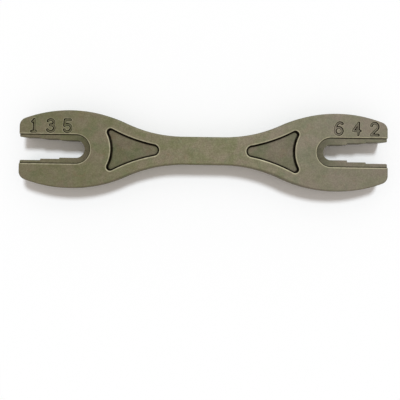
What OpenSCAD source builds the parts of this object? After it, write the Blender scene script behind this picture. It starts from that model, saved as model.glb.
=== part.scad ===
// Flat double-ended spoke wrench, forged in one piece, with three jaw widths in each fork.
// X runs along the length, Y across the heads and Z through the thickness.
// The origin is in the middle of the face that the wrench rests on.
// Outlines are drawn at one end: u runs inwards from the end face and v across, from the middle.

/* [Overall] */
// Length from end face to end face
overall_length = 103; // [96:0.5:120]
// Thickness of the body
body_thickness = 6; // [4.5:0.1:8]
// Radius that rounds the outer edges
edge_round = 0.4; // [0.1:0.05:0.8]
// How far the outer wall leans in, from half thickness to each face
side_draft = 0.15; // [0:0.05:0.4]

/* [Heads] */
// Width of each head at its widest place
head_width = 22; // [20:0.25:25]
// Distance from the end face to the widest place
head_peak = 14.3; // [12:0.25:16]
// Radius of the long curve over each head
head_radius = 36; // [30:0.5:42]
// Radius of the outer corners beside each mouth
corner_radius = 2.5; // [1:0.1:4]

/* [Handle] */
// Width of the handle at its straight middle
handle_width = 8; // [6.5:0.1:10]
// Length of the straight middle
straight_length = 11; // [4:0.5:16]

/* [Left jaws] */
// Opening of jaw 1, at the mouth
jaw_1 = 6.4; // [6:0.05:7]
// Opening of jaw 3, behind jaw 1
jaw_3 = 5.6; // [5.1:0.05:6.1]
// Opening of jaw 5, at the root of the slot
jaw_5 = 4.9; // [4.2:0.05:5.4]
// Distance from the end face to the step behind jaw 1
left_first_step = 6; // [4.5:0.1:7]
// Distance from the end face to the step behind jaw 3
left_second_step = 11.3; // [9:0.1:12.5]

/* [Right jaws] */
// Opening of jaw 2, at the mouth
jaw_2 = 6; // [5.6:0.05:7]
// Opening of jaw 4, behind jaw 2
jaw_4 = 5.3; // [4.6:0.05:5.8]
// Opening of jaw 6, at the root of the slot
jaw_6 = 4.3; // [3.6:0.05:5]
// Distance from the end face to the step behind jaw 2
right_first_step = 6.2; // [5:0.1:7.5]
// Distance from the end face to the step behind jaw 4
right_second_step = 11.4; // [9.5:0.1:13]

/* [Slots and reliefs] */
// Distance from the end face to the far end of each relief. The slot's root has the same centre.
relief_end = 20; // [18:0.1:21]
// Width of the relief sunk round each slot
relief_width = 8.2; // [7.4:0.1:9]
// Depth of the relief in each face
relief_depth = 0.45; // [0.3:0.05:1.5]
// Radius of the corners of the steps
step_round = 0.15; // [0.05:0.01:0.2]
// Radius of the jaw corners at each mouth
mouth_round = 0.7; // [0.2:0.05:1]

/* [Pockets] */
// Distance from the end face to the middle of the side that faces the slot
pocket_start = 25.7; // [23:0.1:28]
// Distance from the end face to the tip
pocket_end = 39.1; // [35:0.1:42]
// How much further in the right pocket lies than the left one
right_pocket_shift = 0.35; // [0:0.05:1]
// Width of the rim between the pocket and the waist of the body
pocket_rim = 3.25; // [2.5:0.05:3.8]
// Radius of the hollow side that faces the slot
pocket_back_radius = 10; // [7:0.1:14]
// Radius of the two corners beside the hollow side
pocket_corner_radius = 1; // [0.4:0.05:1.2]
// Depth of the pocket in each face
pocket_depth = 1; // [0.4:0.05:1.8]

/* [Digits] */
// Height of the jaw digits
digit_height = 4; // [3:0.1:4.4]
// Width of the jaw digits
digit_width = 2.65; // [1.8:0.05:3]
// Width of the line that draws them
digit_stroke = 0.7; // [0.3:0.05:0.8]
// Depth of the digits in the front face
digit_depth = 0.25; // [0.1:0.05:0.8]
// Distance from the left end face to the middle of the digit at the mouth
left_first_digit = 4.3; // [3:0.1:5]
// Distance from one digit to the next on the left
left_digit_pitch = 4.65; // [3.6:0.05:5.5]
// Distance from the middle of the wrench to the middle of the left digits
left_digit_v = 6.45; // [6:0.05:7]
// Distance from the right end face to the middle of the digit at the mouth
right_first_digit = 3.9; // [3:0.1:5]
// Distance from one digit to the next on the right
right_digit_pitch = 5; // [3.6:0.05:5.5]
// Distance from the middle of the wrench to the middle of the right digits
right_digit_v = 6.65; // [6:0.05:7]

/* [Curves] */
// Most that a flat facet may leave a true curve
curve_tolerance = 0.01; // [0.005:0.001:0.03]

/* [Hidden] */
steel = [0.51, 0.49, 0.4];
left_digits = ["1", "3", "5"];
right_digits = ["2", "4", "6"];
// Cuts run past the face that they start from by this length
overrun = 1;
// Facets in the quarter round along each outer edge
edge_facets = 3;
// A rounded corner takes at most this share of the wall that it is cut into
corner_share = 0.45;

half_length = overall_length / 2;
head_half = head_width / 2;
handle_half = handle_width / 2;
relief_half = relief_width / 2;
root_center = [relief_end - relief_half, 0];

// The side of a head is three arcs: the corner, the long curve and the hollow of the waist.
// Each arc leaves the one before it in the same direction.
head_center = [head_peak, head_half - head_radius];
corner_run = head_peak - corner_radius;
corner_rise = sqrt(pow(head_radius - corner_radius, 2) - pow(corner_run, 2));
corner_center = [corner_radius, head_center[1] + corner_rise];
corner_angle = 180 - atan2(corner_rise, corner_run);
waist_u = half_length - straight_length / 2;
waist_run = waist_u - head_peak;
waist_drop = head_half - handle_half;
waist_radius = (pow(waist_run, 2) / waist_drop - 2 * head_radius + waist_drop) / 2;
waist_center = [waist_u, handle_half + waist_radius];
bend_angle = atan2(waist_center[1] - head_center[1], waist_run);

function arc_steps(radius, sweep) =
    max(2, ceil(abs(sweep) / (2 * acos(1 - min(1, curve_tolerance / radius)))));
function arc(center, radius, from, to, steps) =
    [for (k = [0 : steps]) let (angle = from + (to - from) * k / steps)
        center + radius * [cos(angle), sin(angle)]];
function smooth_arc(center, radius, from, to) =
    arc(center, radius, from, to, arc_steps(radius, to - from));
function reversed(points) = [for (k = [len(points) - 1 : -1 : 0]) points[k]];
function without_first(points) = [for (k = [1 : len(points) - 1]) points[k]];
function flipped(points) = [for (p = points) [p[0], -p[1]]];
function both_sides(points) = concat(points, reversed(flipped(points)));

// One quarter of the outline, from the end face to the straight middle, moved inwards by inset.
// Each arc has as many steps at every inset, and the widest place is a point.
function quarter(inset) = concat(
    arc(corner_center, corner_radius - inset, 180, corner_angle,
        arc_steps(corner_radius, 180 - corner_angle)),
    without_first(arc(head_center, head_radius - inset, corner_angle, 90,
        arc_steps(head_radius, corner_angle - 90))),
    without_first(arc(head_center, head_radius - inset, 90, bend_angle,
        arc_steps(head_radius, 90 - bend_angle))),
    without_first(arc(waist_center, waist_radius + inset, bend_angle + 180, 270,
        arc_steps(waist_radius, 90 - bend_angle))));
function at_left(points) = [for (p = points) [p[0] - half_length, p[1]]];
function at_right(points) = [for (p = points) [half_length - p[0], p[1]]];
function outline(inset) = let (side = quarter(inset)) concat(
    at_left(reversed(side)),
    at_left(flipped(side)),
    at_right(reversed(flipped(side))),
    at_right(side));

// The solid before any cut. Its wall leans in from half thickness to a quarter round along each face.
// A level is an inset and a height.
module blank() {
    turns = [for (k = [0 : edge_facets]) 90 * k / edge_facets];
    lower = [for (turn = turns)
        [side_draft + edge_round * (1 - sin(turn)), edge_round * (1 - cos(turn))]];
    upper = [for (level = reversed(lower)) [level[0], body_thickness - level[1]]];
    levels = concat(lower, [[0, body_thickness / 2]], upper);
    count = len(outline(0));
    points = [for (level = levels) for (p = outline(level[0])) [p[0], p[1], level[1]]];
    walls = [for (ring = [0 : len(levels) - 2]) for (k = [0 : count - 1])
        let (low = ring * count, high = low + count, next = (k + 1) % count)
        [low + k, high + k, high + next, low + next]];
    // Each face of the blank is a row of four-sided pieces, each from one long side to the other
    quarter_count = count / 4;
    across = [for (half = [0, 2]) for (k = [0 : quarter_count - 2])
        let (here = half * quarter_count + k, facing = (count - 1 - here + 2 * quarter_count) % count)
        [here, here + 1, facing - 1, facing]];
    middle = [0, 2 * quarter_count - 1, 2 * quarter_count, count - 1];
    bottom = concat(across, [middle]);
    top = [for (piece = bottom) [for (k = reversed(piece)) k + (len(levels) - 1) * count]];
    polyhedron(points = points, faces = concat(bottom, top, walls));
}

// Cuts children of one end into both faces, to the given depth
module in_both_faces(depth) {
    for (low = [-overrun, body_thickness - depth])
        translate([0, 0, low])
            linear_extrude(depth + overrun)
                children();
}

module at_left_end() {
    translate([-half_length, 0, 0])
        children();
}

module at_right_end() {
    mirror([1, 0, 0])
        at_left_end()
            children();
}

// A slot's upper wall as it passes a step: an inner corner, then the nose of the next jaw
function step(u, before, after) =
    let (corner = min(step_round, (before - after) / 2 * corner_share))
    concat(
        smooth_arc([u - corner, before / 2 - corner], corner, 90, 0),
        smooth_arc([u + corner, after / 2 + corner], corner, 180, 270));

function slot_outline(jaws, steps) =
    let (
        mouth = min(mouth_round, (relief_half - jaws[0] / 2) * 2 * corner_share),
        root = jaws[2] / 2)
    both_sides(concat(
        [[-overrun, jaws[0] / 2 + mouth]],
        smooth_arc([mouth, jaws[0] / 2 + mouth], mouth, 180, 270),
        step(steps[0], jaws[0], jaws[1]),
        step(steps[1], jaws[1], jaws[2]),
        smooth_arc(root_center, root, 90, 90 / arc_steps(root, 90))));

// The slot goes right through. The relief is a wider slot with the same round end in each face.
module fork(jaws, steps) {
    translate([0, 0, -overrun])
        linear_extrude(body_thickness + 2 * overrun)
            polygon(slot_outline(jaws, steps));
    in_both_faces(relief_depth)
        polygon(concat(
            [[-overrun, -relief_half]],
            smooth_arc(root_center, relief_half, -90, 90),
            [[-overrun, relief_half]]));
}

// The pocket's long sides run along the waist, one rim inside it, and meet in a round tip.
// The tip's radius follows from where the tip is.
pocket_side_radius = waist_radius + pocket_rim;
tip_run = waist_u - pocket_end;
tip_reach = pow(tip_run, 2) + pow(waist_center[1], 2) - pow(pocket_side_radius, 2);
tip_radius = tip_reach / (2 * (pocket_side_radius - tip_run));
tip_center = [pocket_end - tip_radius, 0];
tip_angle = atan2(waist_center[1], waist_u - tip_center[0]);
back_center = [pocket_start - pocket_back_radius, 0];
back_to_waist = norm(waist_center - back_center);
back_to_corner = pocket_back_radius + pocket_corner_radius;
waist_to_corner = pocket_side_radius + pocket_corner_radius;
corner_turn = acos((pow(back_to_corner, 2) + pow(back_to_waist, 2) - pow(waist_to_corner, 2))
    / (2 * back_to_corner * back_to_waist));
back_angle = atan2(waist_center[1], waist_u - back_center[0]) - corner_turn;
pocket_corner = back_center + back_to_corner * [cos(back_angle), sin(back_angle)];
pocket_corner_angle = atan2(waist_center[1] - pocket_corner[1], waist_u - pocket_corner[0]);

module pocket_outline() {
    polygon(both_sides(concat(
        without_first(smooth_arc(back_center, pocket_back_radius, 0, back_angle)),
        without_first(smooth_arc(pocket_corner, pocket_corner_radius, back_angle + 180,
            pocket_corner_angle)),
        without_first(smooth_arc(waist_center, pocket_side_radius, pocket_corner_angle + 180,
            tip_angle + 180)),
        without_first(smooth_arc(tip_center, tip_radius, tip_angle, tip_angle
            / arc_steps(tip_radius, tip_angle))))));
}

// A digit's lines are drawn in shares of the room inside its box: x from -0.5 to 0.5, y from 0 to 1
function in_box(shares) = [for (s = shares)
    [s[0] * (digit_width - digit_stroke), (s[1] - 0.5) * (digit_height - digit_stroke)]];
function oval(shares, from, to) =
    let (steps = arc_steps(shares[1][1] * digit_height, to - from))
    [for (k = [0 : steps]) let (angle = from + (to - from) * k / steps)
        shares[0] + [shares[1][0] * cos(angle), shares[1][1] * sin(angle)]];

// Each oval is its centre and its two radii
two_bowl_shares = [[0, 0.7], [0.48, 0.3]];
three_upper_shares = [[-0.03, 0.77], [0.45, 0.23]];
three_lower_shares = [[-0.03, 0.28], [0.52, 0.28]];
five_bowl_shares = [[-0.02, 0.31], [0.52, 0.31]];
six_bowl_shares = [[0, 0.3], [0.5, 0.3]];
six_back_shares = [[0.18, 0.32], [0.68, 0.68]];
one_shares = [[[0, 0.04], [0, 1]], [[-0.26, 0.82], [0.01, 0.98]], [[-0.36, 0], [0.24, 0]]];
two_foot_shares = [[-0.5, 0], [0.5, 0]];
four_shares = [[[0.26, 0.97], [-0.5, 0.33], [0.5, 0.33]], [[0.28, 1], [0.2, 0]]];
five_top_shares = [[0.42, 1], [-0.36, 1], [-0.43, 0.5]];

// The lines of each digit, each a row of points
function lines_of(digit) =
    digit == "1" ? one_shares
    : digit == "2" ? [concat(oval(two_bowl_shares, 165, -35), two_foot_shares)]
    : digit == "3" ? [oval(three_upper_shares, 150, -100), oval(three_lower_shares, 100, -150)]
    : digit == "4" ? four_shares
    : digit == "5" ? [five_top_shares, oval(five_bowl_shares, 136, -150)]
    : [oval(six_back_shares, 192, 62), oval(six_bowl_shares, -168, 168)];

// A line's two edges lie half a stroke to each side of its points, and meet at each bend
function heading(a, b) = (b - a) / norm(b - a);
function bend(points, k) =
    let (
        before = k > 0 ? heading(points[k - 1], points[k]) : heading(points[k], points[k + 1]),
        after = k < len(points) - 1 ? heading(points[k], points[k + 1]) : before,
        middle = (before + after) / norm(before + after))
    digit_stroke / 2 / (middle * before) * [-middle[1], middle[0]];
function ribbon(points) = concat(
    [for (k = [0 : len(points) - 1]) points[k] + bend(points, k)],
    [for (k = [len(points) - 1 : -1 : 0]) points[k] - bend(points, k)]);

// One fork's digits, from the mouth inwards. On the right the end is mirrored, so each digit is mirrored back.
module digits(names, first, pitch, v, turned) {
    for (k = [0 : len(names) - 1])
        translate([first + k * pitch, v, body_thickness - digit_depth])
            mirror([turned ? 1 : 0, 0, 0])
                linear_extrude(digit_depth + overrun)
                    for (line = lines_of(names[k]))
                        polygon(ribbon(in_box(line)));
}

module wrench_body() {
    color(steel)
        difference() {
            blank();
            at_left_end() {
                fork([jaw_1, jaw_3, jaw_5], [left_first_step, left_second_step]);
                in_both_faces(pocket_depth)
                    pocket_outline();
                digits(left_digits, left_first_digit, left_digit_pitch, left_digit_v, false);
            }
            at_right_end() {
                fork([jaw_2, jaw_4, jaw_6], [right_first_step, right_second_step]);
                translate([right_pocket_shift, 0, 0])
                    in_both_faces(pocket_depth)
                        pocket_outline();
                digits(right_digits, right_first_digit, right_digit_pitch, right_digit_v, true);
            }
        }
}

wrench_body();
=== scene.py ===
"""A forged steel spoke wrench, lying flat on white paper and seen from above.

The body is one mesh. Its plan is triangulated between contour lines, and a height function raises
every point, so each edge, wall and hollow has its own round. Sizes are in millimetres, and MM turns
them into the scene's metres. Outlines are drawn at one end: u runs inwards from the end face and v
across. An inset is a distance inwards from an outline.
"""

import math
from collections import Counter, namedtuple

import bmesh
import bpy
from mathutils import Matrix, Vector
from mathutils.geometry import delaunay_2d_cdt


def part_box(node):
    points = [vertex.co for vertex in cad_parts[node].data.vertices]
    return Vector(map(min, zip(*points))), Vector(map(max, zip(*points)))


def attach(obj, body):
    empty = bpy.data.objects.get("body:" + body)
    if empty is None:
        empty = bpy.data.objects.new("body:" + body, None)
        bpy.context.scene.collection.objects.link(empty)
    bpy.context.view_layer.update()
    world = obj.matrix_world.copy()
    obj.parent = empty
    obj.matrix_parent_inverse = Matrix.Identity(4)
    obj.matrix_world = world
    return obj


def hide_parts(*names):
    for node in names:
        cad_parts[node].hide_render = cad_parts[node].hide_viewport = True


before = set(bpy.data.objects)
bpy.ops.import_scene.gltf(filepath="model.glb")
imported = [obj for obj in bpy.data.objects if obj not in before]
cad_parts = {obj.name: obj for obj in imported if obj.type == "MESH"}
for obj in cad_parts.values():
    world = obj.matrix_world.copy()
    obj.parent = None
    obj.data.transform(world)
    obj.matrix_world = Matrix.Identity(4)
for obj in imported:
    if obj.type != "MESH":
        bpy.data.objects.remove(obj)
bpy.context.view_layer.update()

MM = 0.001
body_low, body_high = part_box("wrench_body")
LENGTH, HEAD_WIDTH, THICKNESS = [(high - low) / MM for low, high in zip(body_low, body_high)]
HALF_LENGTH = LENGTH / 2
MIDDLE = THICKNESS / 2

# Sizes of the body, as the CAD model has them
HEAD_PEAK = 14.3
HEAD_RADIUS = 36.0
CORNER_RADIUS = 2.5
HANDLE_WIDTH = 8.0
STRAIGHT_LENGTH = 11.0
SIDE_DRAFT = 0.15
EDGE_ROUND = 0.4
RELIEF_HALF = 4.1
RELIEF_END = 20.0
STEP_ROUND = 0.15
MOUTH_ROUND = 0.7
POCKET_START = 25.7
POCKET_END = 39.1
POCKET_RIM = 3.25
POCKET_BACK_RADIUS = 10.0
POCKET_CORNER_RADIUS = 1.0
DIGIT_HEIGHT = 4.0
DIGIT_WIDTH = 2.65
DIGIT_STROKE = 0.7

# A kind of cut has a depth, the radii that round its rim and the foot of its wall, and dirt with painted
# shade. The dirt and painted shade start at an inset and spread over the floor, with one share at the foot
# and another past its spread.
Cut = namedtuple("Cut", "depth rim foot start spread foot_share floor_share")
POCKET = Cut(1.0, 0.32, 0.26, -0.08, 0.3, 1.0, 0.18)
RELIEF = Cut(0.45, 0.2, 0.12, -0.02, 0.15, 0.85, 0.1)
DIGIT = Cut(0.25, 0.1, 0.08, -0.055, 0.1, 1.0, 0.04)
# Between its two rounds the wall of a cut leans by this much
WALL_LEAN = 0.05
# The slots go right through, with one small round at each face
SLOT_ROUND = 0.1
# The dies leave a low line round the outer wall at half thickness
FLASH_STAND = 0.03
FLASH_HALF = 0.12

# Painted shade, dirt and wear. The relief round the root of the slot is darkened with painted shade, which
# fades over this length
ROOT_SHADE_SHARE = 0.5
ROOT_REACH = 12.0
# The outer wall is darker, with dirt and painted shade
FLANK_DIRT_AND_SHADE_SHARE = 0.2
# Wear and a painted highlight fade over this length from a rim
WEAR_HIGHLIGHT_REACH = 0.16

# Lines of the mesh. Most that a chord may leave a true curve
TOLERANCE = 0.002
# A line this far past each round keeps the flats flat when they are shaded smooth
GUARD = 0.06
# A quarter round has this many parts, and these are the turns between them
ROUND_PARTS = 5
ROUND_TURNS = [math.radians(90 / ROUND_PARTS * k) for k in range(ROUND_PARTS + 1)]
# Lines at these shares of a fade carry it, and so do the parts of the relief's straight sides
FADE_SHARES = (0.25, 0.5, 1.0)
RELIEF_PARTS = 4
# Open lines run past the end face by this much
OVERRUN = 1.0
# Points closer than the weld are one point, and a point closer to a line than the snap lies on it
WELD = 0.001
SNAP = WELD / 10

# The left end, then the right: its side, jaws, the steps between them and how far its pocket is moved in.
# Its digits stand at the first place and then one pitch apart, and digit_v is the middle of their height.
# Its steel takes a tone, up to a share: at the left end a darker olive that is painted shade, at the right
# end a greyer tone.
ENDS = [
    {
        "side": -1, "jaws": (6.4, 5.6, 4.9), "steps": (6.0, 11.3), "pocket_shift": 0.0,
        "digits": "135", "first_digit": 4.3, "digit_pitch": 4.65, "digit_v": 6.45,
        "end_tone_and_shade": (80, 76, 50), "end_tone_and_shade_share": 0.32,
    },
    {
        "side": 1, "jaws": (6.0, 5.3, 4.3), "steps": (6.2, 11.4), "pocket_shift": 0.35,
        "digits": "246", "first_digit": 3.9, "digit_pitch": 5.0, "digit_v": 6.65,
        "end_tone_and_shade": (122, 114, 110), "end_tone_and_shade_share": 0.3,
    },
]

# Noise in the steel has lumps about one size wide. Where it is spread over colours or gloss, it passes from
# nothing to full between a low and a high level, and a bump takes its level as it is
Noise = namedtuple("Noise", "size detail roughness distortion low high")
PATCHES = Noise(6.0, 3.0, 0.6, 0.4, 0.38, 0.62)
STAINS = Noise(3.4, 3.0, 0.6, 0.6, 0.5, 0.68)
RUST = Noise(2.7, 2.0, 0.6, 0.8, 0.6, 0.72)
MOTTLE = Noise(1.1, 3.0, 0.6, 0.0, 0.3, 0.7)
GRAIN = Noise(0.34, 3.0, 0.7, 0.0, 0.35, 0.65)
GLOSS = Noise(2.2, 2.0, 0.5, 0.0, 0.3, 0.7)
WAVES = Noise(2.6, 2.0, 0.5, 0.0, 0.0, 1.0)

# Coats of colour lie over the bare tone, one on the other. A tone is as it looks on screen, from 0 to 255
Coat = namedtuple("Coat", "noise share tone")
BARE_TONE = (111, 111, 77)
COATS = [
    Coat(PATCHES, 1.0, (129, 117, 97)),
    Coat(STAINS, 0.55, (98, 110, 75)),
    Coat(RUST, 0.4, (131, 104, 80)),
    Coat(MOTTLE, 0.5, (143, 136, 109)),
    Coat(GRAIN, 0.42, (74, 69, 48)),
]
# The tone and painted shade of each end are full this far from the middle
END_TONE_AND_SHADE_REACH = 40.0
# Rims are lightened with wear and a painted highlight, and corners, hollows and the outer wall are darkened
# with dirt and painted shade
WORN_HIGHLIGHT_TONE = (168, 161, 133)
DIRT_AND_SHADE_TONE = (14, 11, 7)
# The least that the mottle leaves of the wear with its painted highlight, and of the dirt with its painted
# shade
WORN_HIGHLIGHT_SHARE = 0.6
DIRT_AND_SHADE_SHARE = 0.9

# Gloss of the steel from its smoothest to its roughest, and what wear and the dirt with its painted shade
# add to the roughness
SMOOTHEST = 0.5
ROUGHEST = 0.64
WORN_ROUGHNESS = -0.12
DIRT_AND_SHADE_ROUGHNESS = 0.4
# How metallic it is away from the dirt and painted shade, what wear adds to that, and its specular level
METALLIC = 0.2
WORN_METALLIC = 0.1
SPECULAR = 0.25
# Height and strength of the waves and of the grain in its face
WAVE_HEIGHT = 0.03
WAVE_STRENGTH = 0.25
GRAIN_HEIGHT = 0.012
GRAIN_STRENGTH = 0.35

WHITE = [1.0, 1.0, 1.0, 1.0]
PAPER_TONE = (235, 232, 230)
# The paper is a square this many wrenches wide
PAPER_LENGTHS = 40
# The sky gives these shares of a full white to a level surface, and the lamp gives the rest
SKY_SHARES = [0.5, 0.465, 0.435]
# How high the lamp stands, its turn from the right towards the far side, and its width, in degrees
LAMP_ELEVATION = 58.0
LAMP_TURN = 74.0
LAMP_WIDTH = 12.0

# Where the middle of the wrench's upper face is in the photograph, and how large a millimetre is there
IMAGE_SIZE = 400
SPOT = (203.4, 150.7)
PIXELS_PER_MM = 3.6
# The camera stands above a point near the middle of the wrench, and leans and turns by these degrees
CAMERA_FOOT = (-0.85, -4.75)
CAMERA_RISE = 105.0
CAMERA_LEAN = 1.5
CAMERA_TURN = 0.77


def polar(center, radius, degrees):
    """The point at a radius and an angle from a center."""
    angle = math.radians(degrees)
    return (center[0] + radius * math.cos(angle), center[1] + radius * math.sin(angle))


def bearing(start, end):
    """Direction from start to end, from 0 to 360 degrees."""
    return math.degrees(math.atan2(end[1] - start[1], end[0] - start[0])) % 360


def steps_for(radius, sweep):
    """How many chords an arc needs to stay within the tolerance."""
    widest = math.degrees(2 * math.acos(1 - min(1, TOLERANCE / radius)))
    return max(2, math.ceil(abs(sweep) / widest))


def arc(center, radius, start, end, steps=None):
    """Points along an arc. Offset copies of one arc pass the steps of the arc itself."""
    count = steps or steps_for(radius, end - start)
    return [polar(center, radius, start + (end - start) * k / count) for k in range(count + 1)]


def mirrored(points):
    """The points on the other side of the wrench's axis."""
    return [(u, -v) for u, v in points]


def closed(upper):
    """A closed outline from its upper half, which starts and ends beside the axis."""
    return upper + mirrored(upper)[::-1]


# The outline's arcs: the corner, the long curve over the head and the hollow of the waist
HEAD_HALF = HEAD_WIDTH / 2
HANDLE_HALF = HANDLE_WIDTH / 2
HEAD_CENTER = (HEAD_PEAK, HEAD_HALF - HEAD_RADIUS)
CORNER_RUN = HEAD_PEAK - CORNER_RADIUS
CORNER_RISE = math.sqrt((HEAD_RADIUS - CORNER_RADIUS) ** 2 - CORNER_RUN ** 2)
CORNER_CENTER = (CORNER_RADIUS, HEAD_CENTER[1] + CORNER_RISE)
CORNER_ANGLE = bearing(HEAD_CENTER, CORNER_CENTER)
WAIST_U = HALF_LENGTH - STRAIGHT_LENGTH / 2
WAIST_DROP = HEAD_HALF - HANDLE_HALF
WAIST_RADIUS = ((WAIST_U - HEAD_PEAK) ** 2 / WAIST_DROP - 2 * HEAD_RADIUS + WAIST_DROP) / 2
WAIST_CENTER = (WAIST_U, HANDLE_HALF + WAIST_RADIUS)
BEND_ANGLE = bearing(HEAD_CENTER, WAIST_CENTER)


def quarter(inset):
    """The outline from the end face to the straight middle, moved inwards by inset."""
    corner_steps = steps_for(CORNER_RADIUS, 180 - CORNER_ANGLE)
    head_steps = steps_for(HEAD_RADIUS, CORNER_ANGLE - BEND_ANGLE)
    waist_steps = steps_for(WAIST_RADIUS, 270 - BEND_ANGLE - 180)
    return (
        arc(CORNER_CENTER, CORNER_RADIUS - inset, 180, CORNER_ANGLE, corner_steps)
        + arc(HEAD_CENTER, HEAD_RADIUS - inset, CORNER_ANGLE, BEND_ANGLE, head_steps)[1:]
        + arc(WAIST_CENTER, WAIST_RADIUS + inset, BEND_ANGLE + 180, 270, waist_steps)[1:]
    )


def outline_inset(u, v):
    """How far a point lies inside the outline, true within a few millimetres of it."""
    point = (u, abs(v))
    if u >= WAIST_U:
        return HANDLE_HALF - point[1]
    from_head = bearing(HEAD_CENTER, point)
    if from_head < BEND_ANGLE:
        return math.dist(point, WAIST_CENTER) - WAIST_RADIUS
    if from_head <= CORNER_ANGLE:
        return HEAD_RADIUS - math.dist(point, HEAD_CENTER)
    if point[1] >= CORNER_CENTER[1]:
        return CORNER_RADIUS - math.dist(point, CORNER_CENTER)
    return u


# The pocket's arcs: its hollow back, its corner, its long side and its tip
SIDE_RADIUS = WAIST_RADIUS + POCKET_RIM
TIP_RUN = WAIST_U - POCKET_END
TIP_REACH = TIP_RUN ** 2 + WAIST_CENTER[1] ** 2 - SIDE_RADIUS ** 2
TIP_RADIUS = TIP_REACH / (2 * (SIDE_RADIUS - TIP_RUN))
TIP_CENTER = (POCKET_END - TIP_RADIUS, 0.0)
TIP_ANGLE = bearing(TIP_CENTER, WAIST_CENTER)
BACK_CENTER = (POCKET_START - POCKET_BACK_RADIUS, 0.0)
BACK_TO_CORNER = POCKET_BACK_RADIUS + POCKET_CORNER_RADIUS
BACK_TO_WAIST = math.dist(BACK_CENTER, WAIST_CENTER)
WAIST_TO_CORNER = SIDE_RADIUS + POCKET_CORNER_RADIUS
CORNER_TURN = math.degrees(math.acos(
    (BACK_TO_CORNER ** 2 + BACK_TO_WAIST ** 2 - WAIST_TO_CORNER ** 2)
    / (2 * BACK_TO_CORNER * BACK_TO_WAIST)
))
BACK_ANGLE = bearing(BACK_CENTER, WAIST_CENTER) - CORNER_TURN
POCKET_CORNER = polar(BACK_CENTER, BACK_TO_CORNER, BACK_ANGLE)
SIDE_ANGLE = bearing(POCKET_CORNER, WAIST_CENTER)


def pocket_ring(inset):
    """The pocket's closed outline, moved into the pocket by inset."""
    corner_steps = steps_for(POCKET_CORNER_RADIUS, BACK_ANGLE + 180 - SIDE_ANGLE)
    tip_steps = steps_for(TIP_RADIUS, TIP_ANGLE)
    back_steps = steps_for(POCKET_BACK_RADIUS, BACK_ANGLE)
    side_steps = steps_for(SIDE_RADIUS, TIP_ANGLE - SIDE_ANGLE)
    return closed(
        arc(BACK_CENTER, POCKET_BACK_RADIUS + inset, 0, BACK_ANGLE, back_steps)[1:]
        + arc(POCKET_CORNER, POCKET_CORNER_RADIUS - inset, BACK_ANGLE + 180, SIDE_ANGLE, corner_steps)[1:]
        + arc(WAIST_CENTER, SIDE_RADIUS + inset, SIDE_ANGLE + 180, TIP_ANGLE + 180, side_steps)[1:]
        + arc(TIP_CENTER, TIP_RADIUS - inset, TIP_ANGLE, 0, tip_steps)[1:-1]
    ) + [(BACK_CENTER[0] + POCKET_BACK_RADIUS + inset, 0.0)]


def pocket_inset(u, v):
    """How far a point lies inside the pocket, true near its outline."""
    point = (u, abs(v))
    if u < BACK_CENTER[0]:
        return -POCKET_BACK_RADIUS
    if SIDE_ANGLE <= bearing(POCKET_CORNER, point) <= BACK_ANGLE + 180:
        return POCKET_CORNER_RADIUS - math.dist(point, POCKET_CORNER)
    if u > TIP_CENTER[0] and bearing(TIP_CENTER, point) <= TIP_ANGLE:
        return TIP_RADIUS - math.dist(point, TIP_CENTER)
    return min(
        math.dist(point, BACK_CENTER) - POCKET_BACK_RADIUS,
        math.dist(point, WAIST_CENTER) - SIDE_RADIUS,
    )


# The round ends of the relief and of the slot in it have the same center
ROOT_CENTER = (RELIEF_END - RELIEF_HALF, 0.0)


def relief_ring(inset):
    """The relief's open outline, moved into the relief by inset."""
    half = RELIEF_HALF - inset
    turn = arc(ROOT_CENTER, half, 90, -90, steps_for(RELIEF_HALF, 180))
    part = ROOT_CENTER[0] / RELIEF_PARTS
    straight = [(-OVERRUN, half)] + [(part * k, half) for k in range(RELIEF_PARTS)]
    return straight + turn + mirrored(straight)[::-1]


def relief_inset(u, v):
    """How far a point lies inside the relief."""
    return RELIEF_HALF - (abs(v) if u <= ROOT_CENTER[0] else math.dist((u, v), ROOT_CENTER))


def slot_ring(end, outset):
    """The slot's outline, moved into the steel by outset, from mouth to mouth."""
    halves = [jaw / 2 for jaw in end["jaws"]]
    mouth = (MOUTH_ROUND, halves[0] + MOUTH_ROUND)
    upper = [(-OVERRUN, mouth[1])]
    upper += arc(mouth, MOUTH_ROUND - outset, 180, 270, steps_for(MOUTH_ROUND, 90))
    bend = steps_for(STEP_ROUND, 90)
    for u, before, after in zip(end["steps"], halves, halves[1:]):
        upper += arc((u - STEP_ROUND, before - STEP_ROUND), STEP_ROUND + outset, 90, 0, bend)
        upper += arc((u + STEP_ROUND, after + STEP_ROUND), STEP_ROUND - outset, 180, 270, bend)
    root = halves[-1]
    upper += arc(ROOT_CENTER, root + outset, 90, 0, steps_for(root, 90))
    return upper + mirrored(upper[:-1])[::-1]


def slot_outset(end, u, v):
    """How far a point lies inside the steel from the slot's wall, true near the wall."""
    halves = [jaw / 2 for jaw in end["jaws"]]
    point = (u, abs(v))
    mouth = (MOUTH_ROUND, halves[0] + MOUTH_ROUND)
    if u > ROOT_CENTER[0]:
        return math.dist(point, ROOT_CENTER) - halves[-1]
    if u < mouth[0]:
        return MOUTH_ROUND - (math.dist(point, mouth) if point[1] < mouth[1] else 0)
    half = halves[0]
    for step, after in zip(end["steps"], halves[1:]):
        inner = (step - STEP_ROUND, half - STEP_ROUND)
        nose = (step + STEP_ROUND, after + STEP_ROUND)
        if inner[0] < u < nose[0]:
            if point[1] < nose[1]:
                return STEP_ROUND - math.dist(point, nose)
            return math.dist(point, inner) - STEP_ROUND if point[1] > inner[1] else u - step
        half = half if u <= inner[0] else after
    return point[1] - half


def oval(center, radii, start, end):
    """Part of an oval, in shares of the room inside a digit's box."""
    count = steps_for(radii[1] * DIGIT_HEIGHT, end - start)
    turns = [math.radians(start + (end - start) * k / count) for k in range(count + 1)]
    return [(center[0] + radii[0] * math.cos(t), center[1] + radii[1] * math.sin(t)) for t in turns]


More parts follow.
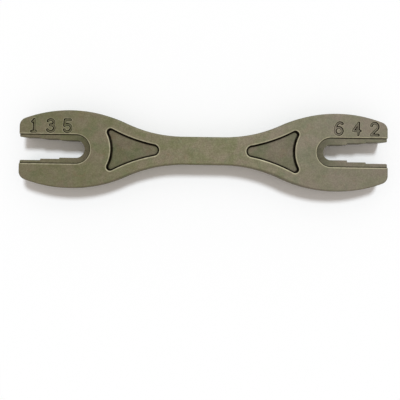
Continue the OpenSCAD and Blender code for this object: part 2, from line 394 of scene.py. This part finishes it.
def digit_lines():
    """The smooth lines of each digit, in shares of its box: x from -0.5 to 0.5 and y from 0 to 1."""
    two_bowl = oval((0, 0.7), (0.48, 0.3), 165, -35)
    return {
        "1": [[(0, 0.04), (0, 1)], [(-0.26, 0.82), (0.01, 0.98)], [(-0.36, 0), (0.24, 0)]],
        "2": [two_bowl, [two_bowl[-1], (-0.5, 0)], [(-0.5, 0), (0.5, 0)]],
        "3": [
            oval((-0.03, 0.77), (0.45, 0.23), 150, -100),
            oval((-0.03, 0.28), (0.52, 0.28), 100, -150),
        ],
        "4": [[(0.26, 0.97), (-0.5, 0.33)], [(-0.5, 0.33), (0.5, 0.33)], [(0.28, 1), (0.2, 0)]],
        "5": [
            [(0.42, 1), (-0.36, 1)],
            [(-0.36, 1), (-0.43, 0.5)],
            oval((-0.02, 0.31), (0.52, 0.31), 136, -150),
        ],
        "6": [
            oval((0.18, 0.32), (0.68, 0.68), 192, 62),
            oval((0, 0.3), (0.5, 0.3), -168, 168),
        ],
    }


def placed(end, points):
    """Points of one end in the body's own x and y."""
    return [(end["side"] * (HALF_LENGTH - u), v) for u, v in points]


def strokes():
    """The center lines of all the digits, where they stand on the wrench."""
    room = (DIGIT_WIDTH - DIGIT_STROKE, DIGIT_HEIGHT - DIGIT_STROKE)
    shapes = digit_lines()
    found = []
    for end in ENDS:
        for k, name in enumerate(end["digits"]):
            x, y = placed(end, [(end["first_digit"] + k * end["digit_pitch"], end["digit_v"])])[0]
            for line in shapes[name]:
                found.append([(x + a * room[0], y + (b - 1 / 2) * room[1]) for a, b in line])
    return found


STROKES = strokes()


def stroke_ring(line, reach):
    """The closed outline at a distance from a smooth line, round at both ends."""
    sides = []
    for k, point in enumerate(line):
        before, after = line[max(k - 1, 0)], line[min(k + 1, len(line) - 1)]
        sides.append(bearing(before, after))
    left = [polar(point, reach, side + 90) for point, side in zip(line, sides)]
    right = [polar(point, reach, side - 90) for point, side in zip(line, sides)]
    cap = steps_for(DIGIT_STROKE, 180)
    far = arc(line[-1], reach, sides[-1] + 90, sides[-1] - 90, cap)
    near = arc(line[0], reach, sides[0] - 90, sides[0] - 270, cap)
    return left + far[1:-1] + right[::-1] + near[1:-1]


def distance_to_piece(point, start, end):
    """How far a point is from the straight piece of a line between two points."""
    run = (end[0] - start[0], end[1] - start[1])
    reach = (point[0] - start[0]) * run[0] + (point[1] - start[1]) * run[1]
    along = min(1, max(0, reach / (run[0] ** 2 + run[1] ** 2)))
    return math.dist(point, (start[0] + along * run[0], start[1] + along * run[1]))


def stroke_inset(x, y):
    """How far a point lies inside the nearest stroke of a digit, true near it."""
    nearest = DIGIT_HEIGHT
    for line in STROKES:
        if abs(x - line[0][0]) < DIGIT_HEIGHT and abs(y - line[0][1]) < DIGIT_HEIGHT:
            for start, end in zip(line, line[1:]):
                nearest = min(nearest, distance_to_piece((x, y), start, end))
    return DIGIT_STROKE / 2 - nearest


def sunk(cut, inset):
    """How deep a cut is at a point this far inside its outline, with both of its edges rounded."""
    if inset <= -cut.rim:
        return 0.0
    if inset <= 0:
        return cut.rim - math.sqrt(cut.rim ** 2 - (inset + cut.rim) ** 2)
    if inset <= WALL_LEAN:
        return cut.rim + (cut.depth - cut.rim - cut.foot) * inset / WALL_LEAN
    to_floor = WALL_LEAN + cut.foot - inset
    if to_floor > 0:
        return cut.depth - cut.foot + math.sqrt(cut.foot ** 2 - to_floor ** 2)
    return cut.depth


def dirt_and_shade(cut, inset):
    """The share of dirt and painted shade at a point this far inside a cut's outline, most on its wall."""
    if inset < cut.start:
        return 0.0
    from_wall = inset - WALL_LEAN - cut.foot
    return cut.floor_share + (cut.foot_share - cut.floor_share) * fading(from_wall, cut.spread)


def rim_wear_and_highlight(cut, inset):
    """The share of wear and painted highlight at a point this far inside a cut's outline, full on its rim.

    Round a digit it reaches as far as the guard, the only line that is drawn there.
    """
    beside = abs(inset + cut.rim / 2) - cut.rim / 2
    return fading(beside, GUARD if cut == DIGIT else WEAR_HIGHLIGHT_REACH)


def edge_lines(cut):
    """The insets of the lines along a cut: the round of its rim, then of its foot, each with a guard."""
    rim = [cut.rim * (math.sin(turn) - 1) for turn in ROUND_TURNS]
    foot = [WALL_LEAN + cut.foot * (1 - math.sin(turn)) for turn in reversed(ROUND_TURNS)]
    return [-cut.rim - GUARD] + rim + foot + [WALL_LEAN + cut.foot + GUARD]


def shade_lines(cut):
    """The insets of the lines over which the wear and painted highlight outside a cut and the dirt and
    painted shade inside it fade.
    """
    rim = [-cut.rim - WEAR_HIGHLIGHT_REACH * share for share in FADE_SHARES]
    return rim + [WALL_LEAN + cut.foot + cut.spread * share for share in FADE_SHARES]


def wall_height(inset, top):
    """Height of the outer wall and its round, below a face at height top."""
    shoulder = top - EDGE_ROUND
    if inset >= SIDE_DRAFT + EDGE_ROUND:
        return top
    if inset >= SIDE_DRAFT:
        return shoulder + math.sqrt(EDGE_ROUND ** 2 - (SIDE_DRAFT + EDGE_ROUND - inset) ** 2)
    if inset <= FLASH_STAND:
        return MIDDLE + FLASH_HALF * max(0, inset) / FLASH_STAND
    along = (inset - FLASH_STAND) / (SIDE_DRAFT - FLASH_STAND)
    return MIDDLE + FLASH_HALF + (shoulder - MIDDLE - FLASH_HALF) * along


def fading(distance, reach):
    """From 1 at no distance, fast at first and then slowly, to 0 at the reach."""
    return (1 - min(1, max(0, distance) / reach)) ** 2


def surface(x, y, front):
    """Height above the middle plane, dirt with painted shade, and wear with a painted highlight, at a point
    of one face.
    """
    end = ENDS[0] if x < 0 else ENDS[1]
    u = HALF_LENGTH - abs(x)
    edge = outline_inset(u, y)
    wall = max(0, slot_outset(end, u, y))
    relief = relief_inset(u, y)
    cuts = [(RELIEF, relief), (POCKET, pocket_inset(u - end["pocket_shift"], y))]
    if front:
        cuts.append((DIGIT, stroke_inset(x, y)))
    top = THICKNESS - sum(sunk(cut, inset) for cut, inset in cuts)
    height = wall_height(edge, top) - MIDDLE
    if wall < SLOT_ROUND:
        drop = SLOT_ROUND - math.sqrt(SLOT_ROUND ** 2 - (SLOT_ROUND - wall) ** 2)
        height -= drop * min(1, height / MIDDLE)
    # The outer wall is darkened with dirt and painted shade
    flank = FLANK_DIRT_AND_SHADE_SHARE * fading(edge - SIDE_DRAFT, EDGE_ROUND)
    # Painted shade darkens the relief round the slot's root
    root = ROOT_SHADE_SHARE * fading(RELIEF_END - u, ROOT_REACH) if relief > 0 else 0
    # Neither the dirt and painted shade of the cuts nor the wear and painted highlight of their rims runs
    # down the outer wall
    on_face = min(1, max(0, edge - SIDE_DRAFT) / EDGE_ROUND)
    grime_and_shade = max(flank, on_face * max([root] + [dirt_and_shade(cut, inset) for cut, inset in cuts]))
    wear_and_highlight = on_face * max(rim_wear_and_highlight(cut, inset) for cut, inset in cuts)
    return height, grime_and_shade, wear_and_highlight * (1 - grime_and_shade)


def outline_ring(inset):
    """The whole outline, moved inwards by inset, anticlockwise from the far side of the handle."""
    side = quarter(inset)
    left, right = ENDS
    return (
        placed(left, side[::-1] + mirrored(side))
        + placed(right, mirrored(side)[::-1] + side)
    )


def plan(front):
    """Triangles over one face, with a line at each height where its shape turns."""
    slot_outsets = [SLOT_ROUND * (1 - math.sin(turn)) for turn in ROUND_TURNS[:-1]]
    slot_outsets += [SLOT_ROUND + GUARD]
    wall_insets = [FLASH_STAND / 2, FLASH_STAND, 2 * FLASH_STAND, SIDE_DRAFT]
    wall_insets += [SIDE_DRAFT + EDGE_ROUND * (1 - math.sin(turn)) for turn in ROUND_TURNS[:-1]]
    wall_insets += [SIDE_DRAFT + EDGE_ROUND + GUARD]
    # Each loop runs anticlockwise, and the second and third are the slots
    loops = [outline_ring(0)] + [placed(end, slot_ring(end, 0))[::end["side"]] for end in ENDS]
    closed_lines = [outline_ring(inset) for inset in wall_insets]
    open_lines = []
    for end in ENDS:
        shift = end["pocket_shift"]
        for inset in edge_lines(POCKET) + shade_lines(POCKET):
            closed_lines.append(placed(end, [(u + shift, v) for u, v in pocket_ring(inset)]))
        relief_insets = edge_lines(RELIEF) + shade_lines(RELIEF)
        open_lines += [placed(end, relief_ring(inset)) for inset in relief_insets]
        open_lines += [placed(end, slot_ring(end, outset)) for outset in slot_outsets]
    if front:
        reaches = [DIGIT_STROKE / 2 - inset for inset in edge_lines(DIGIT)]
        closed_lines += [stroke_ring(line, reach) for line in STROKES for reach in reaches]
    points = []

    def numbered(line):
        """The numbers of a line's points, which are added to the plan's."""
        first = len(points)
        points.extend(Vector(point) for point in line)
        return list(range(first, len(points)))

    faces = [numbered(loop) for loop in loops]
    edges = []
    for ids in map(numbered, closed_lines):
        edges += zip(ids, ids[1:] + ids[:1])
    for ids in map(numbered, open_lines):
        edges += zip(ids, ids[1:])
    # Type 0 gives all the triangles, each with the numbers of the loops that it lies in
    spots, _, triangles, _, _, owners = delaunay_2d_cdt(points, edges, faces, 0, SNAP, True)
    # Steel is where a triangle lies in the outline alone, and not in a slot too
    return spots, [corners for corners, inside in zip(triangles, owners) if inside == [0]]


def outer_pairs(triangles):
    """The edges that only one triangle has, each in the direction of that triangle."""
    pairs = [pair for corners in triangles for pair in zip(corners, corners[1:] + corners[:1])]
    uses = Counter(frozenset(pair) for pair in pairs)
    return [pair for pair in pairs if uses[frozenset(pair)] == 1]


def forged_body():
    """The whole body as one closed mesh: a front, a back and the walls of the slots between them."""
    work = bmesh.new()
    # Each point carries a share of grime, which is dirt and painted shade, and a share of wear, which is
    # wear and a painted highlight
    layers = [work.verts.layers.float.new(name) for name in ("grime_and_shade", "wear_and_highlight")]

    def corner(place, height, shades=(0, 0)):
        """A new point at a height above the middle plane, with its shares of grime with painted shade and
        of wear with a painted highlight.
        """
        vert = work.verts.new(Vector((*place, MIDDLE + height)) * MM)
        for layer, share in zip(layers, shades):
            vert[layer] = share
        return vert

    def column(place, top, height, shades):
        """The points down a slot's wall from a corner of the front, with a guard beside each face."""
        guard = height - min(GUARD, height / 3)
        return [top, corner(place, guard), corner(place, -guard), corner(place, -height, shades)]

    for front in (True, False):
        points, triangles = plan(front)
        used = {k for corners in triangles for k in corners}
        found = {k: surface(*points[k], front) for k in used}
        side = 1 if front else -1
        verts = {
            k: corner(points[k], side * height, shades) for k, (height, *shades) in found.items()
        }
        for corners in triangles:
            work.faces.new([verts[k] for k in corners[::side]])
        if not front:
            continue
        # The slots' walls hang from the outer edges of the front that lie above the middle plane
        columns = {}
        for start, after in outer_pairs(triangles):
            if max(found[start][0], found[after][0]) < WELD:
                continue
            for k in (start, after):
                if k not in columns:
                    columns[k] = column(points[k], verts[k], found[k][0], found[k][1:])
            near, far = columns[start], columns[after]
            for level in range(len(near) - 1):
                work.faces.new([far[level], near[level], near[level + 1], far[level + 1]])
    bmesh.ops.remove_doubles(work, verts=work.verts, dist=WELD * MM)
    bmesh.ops.recalc_face_normals(work, faces=work.faces)
    mesh = bpy.data.meshes.new("forged_body")
    work.to_mesh(mesh)
    work.free()
    mesh.shade_smooth()
    return add_piece("forged_body", mesh, steel())


def add_piece(name, mesh, material):
    """A new object in the scene, with its mesh and its one material."""
    mesh.materials.append(material)
    piece = bpy.data.objects.new(name, mesh)
    bpy.context.scene.collection.objects.link(piece)
    return piece


def srgb(tone):
    """A tone as it looks on screen, 0 to 255, as Blender's linear colour."""
    shares = [level / 255 for level in tone]
    return [s / 12.92 if s <= 0.04045 else ((s + 0.055) / 1.055) ** 2.4 for s in shares] + [1.0]


class Nodes:
    """Makes and links the nodes of one material or world."""

    def __init__(self, tree):
        self.tree = tree
        tree.nodes.clear()

    def add(self, kind, settings=None, **inputs):
        """A node. An input A_B is its socket A B and _3 is its socket 3. A value may be a node's output."""
        node = self.tree.nodes.new("ShaderNode" + kind)
        for name, value in (settings or {}).items():
            setattr(node, name, value)
        for name, value in inputs.items():
            socket = int(name[1:]) if name[1:].isdigit() else name.replace("_", " ")
            self.put(node.inputs[socket], value)
        return node

    def put(self, socket, value):
        """Links a node's output to a socket, or sets the socket to a number or a colour."""
        if isinstance(value, bpy.types.NodeSocket):
            self.tree.links.new(value, socket)
        else:
            socket.default_value = value

    def noise(self, place, kind):
        """The level of one kind of noise at a place."""
        return self.add("TexNoise", Vector=place, Scale=1 / (kind.size * MM), Detail=kind.detail,
                        Roughness=kind.roughness, Distortion=kind.distortion).outputs["Fac"]

    def between(self, value, low, high, to_low=0.0, to_high=1.0):
        """A value taken from one range to another, and held at its ends."""
        return self.add("MapRange", {"interpolation_type": "SMOOTHSTEP"}, Value=value, From_Min=low,
                        From_Max=high, To_Min=to_low, To_Max=to_high).outputs["Result"]

    def spread(self, place, kind, least=0.0, most=1.0):
        """One kind of noise, from the least value below its low level to the most above its high one."""
        return self.between(self.noise(place, kind), kind.low, kind.high, least, most)

    def mix(self, share, first, second):
        """The first colour, with a share of the second laid over it."""
        # A mix of colours has them in sockets 6 and 7, and comes out of the third output
        return self.add("Mix", {"data_type": "RGBA"}, _0=share, _6=first, _7=second).outputs[2]

    def math(self, operation, *values):
        """The result of one step of arithmetic on two or three values."""
        inputs = {f"_{k}": value for k, value in enumerate(values)}
        return self.add("Math", {"operation": operation}, **inputs).outputs[0]

    def attribute(self, name):
        """The share that the mesh stores under this name at each of its points."""
        return self.add("Attribute", {"attribute_name": name}).outputs["Fac"]


def steel():
    """Forged steel, olive grey and satin: mottled flats, corners darkened with dirt and painted shade, rims
    lightened with wear and a painted highlight.
    """
    material = bpy.data.materials.new("forged_steel")
    material.use_nodes = True
    nodes = Nodes(material.node_tree)
    place = nodes.add("TexCoord").outputs["Object"]
    mottle = nodes.spread(place, MOTTLE)
    # The wear mark is wear and a painted highlight on the cuts' rims
    worn_highlight = nodes.between(mottle, 0.0, 1.0, WORN_HIGHLIGHT_SHARE, 1.0)
    worn_highlight = nodes.math("MULTIPLY", nodes.attribute("wear_and_highlight"), worn_highlight)
    # The grime mark is dirt and painted shade in the cuts' corners and hollows and on the outer wall
    dirt_and_shade_share = nodes.between(mottle, 0.0, 1.0, 1.0, DIRT_AND_SHADE_SHARE)
    dirt_and_shade_share = nodes.math("MULTIPLY", nodes.attribute("grime_and_shade"), dirt_and_shade_share)

    colour = srgb(BARE_TONE)
    for coat in COATS:
        colour = nodes.mix(nodes.spread(place, coat.noise, most=coat.share), colour, srgb(coat.tone))
    along = nodes.add("SeparateXYZ", Vector=place).outputs["X"]
    # Each end takes its tone: the left end's darker olive is painted shade
    for end in ENDS:
        toned_and_shaded = nodes.between(along, 0.0, end["side"] * END_TONE_AND_SHADE_REACH * MM, 0.0, end["end_tone_and_shade_share"])
        colour = nodes.mix(toned_and_shaded, colour, srgb(end["end_tone_and_shade"]))
    # Rims lightened with wear and a painted highlight
    colour = nodes.mix(worn_highlight, colour, srgb(WORN_HIGHLIGHT_TONE))
    # Corners and hollows darkened with dirt and painted shade
    colour = nodes.mix(dirt_and_shade_share, colour, srgb(DIRT_AND_SHADE_TONE))

    rough = nodes.spread(place, GLOSS, SMOOTHEST, ROUGHEST)
    rough = nodes.math("MULTIPLY_ADD", worn_highlight, WORN_ROUGHNESS, rough)
    rough = nodes.math("MULTIPLY_ADD", dirt_and_shade_share, DIRT_AND_SHADE_ROUGHNESS, rough)
    metal = nodes.between(dirt_and_shade_share, 0.0, 1.0, METALLIC, 0.0)
    metal = nodes.math("MULTIPLY_ADD", worn_highlight, WORN_METALLIC, metal)
    waves = nodes.add("Bump", Strength=WAVE_STRENGTH, Distance=WAVE_HEIGHT * MM,
                      Height=nodes.noise(place, WAVES))
    bumps = nodes.add("Bump", Strength=GRAIN_STRENGTH, Distance=GRAIN_HEIGHT * MM,
                      Height=nodes.noise(place, GRAIN), Normal=waves.outputs["Normal"])
    face = nodes.add("BsdfPrincipled", Base_Color=colour, Roughness=rough, Metallic=metal,
                     Specular_IOR_Level=nodes.between(dirt_and_shade_share, 0.0, 1.0, SPECULAR, 0.0),
                     Normal=bumps.outputs["Normal"])
    nodes.add("OutputMaterial", Surface=face.outputs[0])
    return material


def seen(nodes):
    """1 for the rays that show the background to the camera or in a gloss, and 0 for the rest."""
    path = nodes.add("LightPath").outputs
    glossy = nodes.math("MAXIMUM", path["Is Camera Ray"], path["Is Glossy Ray"])
    return nodes.math("MAXIMUM", glossy, path["Is Transmission Ray"])


def paper():
    """Matt paper, white where it is seen and a little darker in the light that it sends on."""
    material = bpy.data.materials.new("paper")
    material.use_nodes = True
    nodes = Nodes(material.node_tree)
    colour = nodes.mix(seen(nodes), srgb(PAPER_TONE), WHITE)
    face = nodes.add("BsdfDiffuse", Color=colour)
    nodes.add("OutputMaterial", Surface=face.outputs[0])
    return material


def floor():
    """A sheet of paper much larger than the wrench, which rests on it."""
    half = PAPER_LENGTHS * LENGTH * MM / 2
    mesh = bpy.data.meshes.new("floor")
    corners = [(-half, -half, 0), (half, -half, 0), (half, half, 0), (-half, half, 0)]
    mesh.from_pydata(corners, [], [(0, 1, 2, 3)])
    return add_piece("floor", mesh, paper())


def surroundings():
    """An even sky that lights the wrench, and shows as white."""
    world = bpy.data.worlds.new("surroundings")
    world.use_nodes = True
    bpy.context.scene.world = world
    nodes = Nodes(world.node_tree)
    light = nodes.add("Background", Color=SKY_SHARES + [1.0])
    view = nodes.add("Background", Color=WHITE)
    mixed = nodes.add("MixShader", _0=seen(nodes), _1=light.outputs[0], _2=view.outputs[0])
    nodes.add("OutputWorld", Surface=mixed.outputs[0])


def key_lamp():
    """A soft lamp from above the far side, which throws the shadow towards the viewer."""
    lamp = bpy.data.lights.new("key", "SUN")
    shares = [1 - share for share in SKY_SHARES]
    lamp.energy = max(shares) * math.pi / math.sin(math.radians(LAMP_ELEVATION))
    lamp.color = [share / max(shares) for share in shares]
    lamp.angle = math.radians(LAMP_WIDTH)
    key = bpy.data.objects.new("key", lamp)
    key.rotation_euler = (0, math.radians(90 - LAMP_ELEVATION), math.radians(LAMP_TURN))
    bpy.context.scene.collection.objects.link(key)


def camera():
    """A camera above the wrench. The shift of its lens puts the spot where the photograph has it."""
    lens = bpy.data.cameras.new("camera")
    eye = bpy.data.objects.new("camera", lens)
    eye.location = Vector((*CAMERA_FOOT, THICKNESS + CAMERA_RISE)) * MM
    eye.rotation_euler = (math.radians(CAMERA_LEAN), 0, math.radians(CAMERA_TURN))
    spot = Vector((0, 0, THICKNESS)) * MM - eye.location
    spot.rotate(eye.rotation_euler.to_matrix().inverted())
    lens.sensor_width = IMAGE_SIZE / PIXELS_PER_MM
    lens.lens = -spot.z / MM
    lens.shift_x = spot.x / MM / lens.sensor_width - SPOT[0] / IMAGE_SIZE + 1 / 2
    lens.shift_y = spot.y / MM / lens.sensor_width + SPOT[1] / IMAGE_SIZE - 1 / 2
    lens.clip_start = MM
    bpy.context.scene.collection.objects.link(eye)
    bpy.context.scene.camera = eye


bpy.context.scene.view_settings.view_transform = "Standard"
camera()
surroundings()
key_lamp()
floor()

body = forged_body()
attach(body, "root")
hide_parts("wrench_body")
